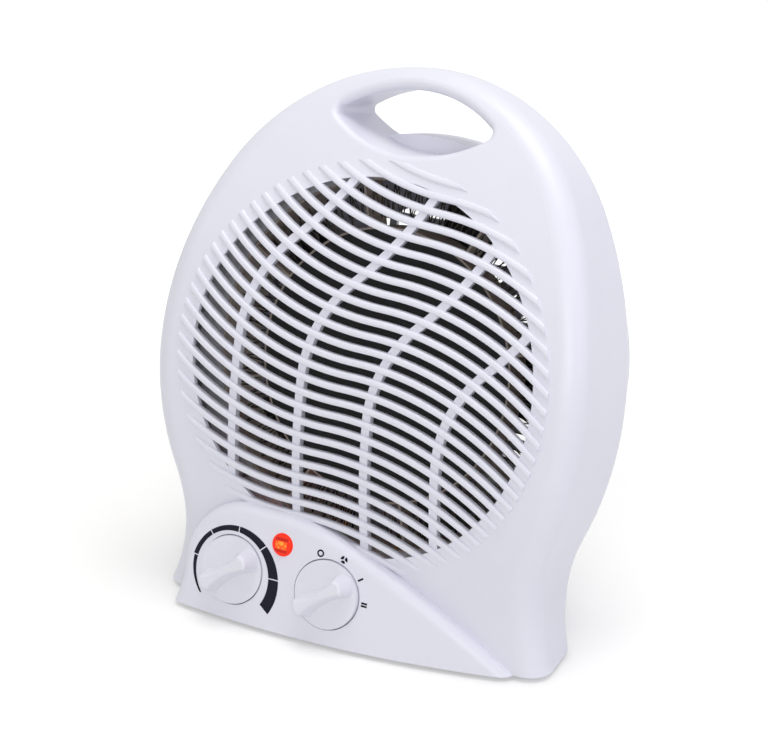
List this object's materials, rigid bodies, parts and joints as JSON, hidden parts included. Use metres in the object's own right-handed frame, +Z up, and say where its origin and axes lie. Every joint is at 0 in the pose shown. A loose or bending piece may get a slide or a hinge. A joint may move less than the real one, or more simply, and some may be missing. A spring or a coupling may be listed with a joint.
{
  "type": "fan heater",
  "caption": "Upright portable fan heater leaning back on a flared base, with a wavy-slatted round outlet grille, a carrying handle, thermostat and selector dials and an indicator lamp.",
  "frame": {"origin": "under the middle of the heater's overall box, on the floor it stands on", "axes": "+Z up, -Y towards the outlet grille, +X to the right as seen from the front"},
  "size_m": [0.2272, 0.1486, 0.259],
  "materials": {
    "white_shell": "satin moulded",
    "white_knob": "satin moulded",
    "grey_spindle": "moulded",
    "dark_phenolic": "moulded",
    "lens_orange": "clear-coloured",
    "lamp_glass": "clear",
    "galvanised": "galvanised sheet",
    "mica": "pressed mica sheet",
    "nichrome": "oxidised resistance wire",
    "black_steel": "matt black",
    "brass": "plain",
    "screw_steel": "zinc plated",
    "lamination": "stacked sheet",
    "copper_coil": "enamelled copper winding",
    "bobbin_nylon": "moulded",
    "rotor_metal": "cast cage",
    "shaft_steel": "ground",
    "bronze_bush": "sintered bronze",
    "black_fan": "moulded",
    "black_rubber": "matt",
    "white_gland": "moulded",
    "block_white": "moulded"
  },
  "bodies": {
    "heater": {"front_cover": "white_shell", "rear_cover": "white_shell", "shell_screws": "screw_steel", "duct_screws": "screw_steel", "rubber_feet": "black_rubber", "cord_gland": "white_gland", "terminal_block": "block_white", "terminal_screws": "brass", "thermostat_body": "dark_phenolic", "thermostat_bimetal": "brass", "selector_switch": "dark_phenolic", "selector_terminals": "brass", "indicator_lens": "lens_orange", "indicator_lamp": "lamp_glass", "duct_ring": "galvanised", "duct_liner": "mica", "element_core": "mica", "deflector_disc": "black_steel", "element_fins": "mica", "heating_wire_front": "nichrome", "heating_wire_back": "nichrome", "element_terminals": "brass", "thermal_cutout": "dark_phenolic", "stator_stack": "lamination", "coil_bobbin": "bobbin_nylon", "motor_coil": "copper_coil", "front_bracket": "galvanised", "rear_bracket": "galvanised", "bearing_bushes": "bronze_bush", "motor_bolts": "screw_steel", "motor_spider": "galvanised"},
    "thermostat": {"thermostat_knob": "white_knob", "thermostat_spindle": "grey_spindle"},
    "selector": {"selector_knob": "white_knob", "selector_spindle": "grey_spindle"},
    "fan": {"fan_impeller": "black_fan", "motor_shaft": "shaft_steel", "rotor": "rotor_metal"}
  },
  "joints": [
    {"name": "thermostat_turn", "type": "hinge", "parent": "heater", "child": "thermostat", "pos_m": [-0.0559, -0.06273, 0.02671], "axis": [0, -0.9673, 0.2538], "range_deg": [-77, 183]},
    {"name": "selector_turn", "type": "hinge", "parent": "heater", "child": "selector", "pos_m": [-0.0034, -0.06273, 0.02671], "axis": [0, -0.9673, 0.2538], "range_deg": [-36, 72]},
    {"name": "fan_spin", "type": "hinge", "parent": "heater", "child": "fan", "pos_m": [0, 0.01374, 0.11955], "axis": [0, -0.9673, 0.2538], "continuous": true}
  ]
}
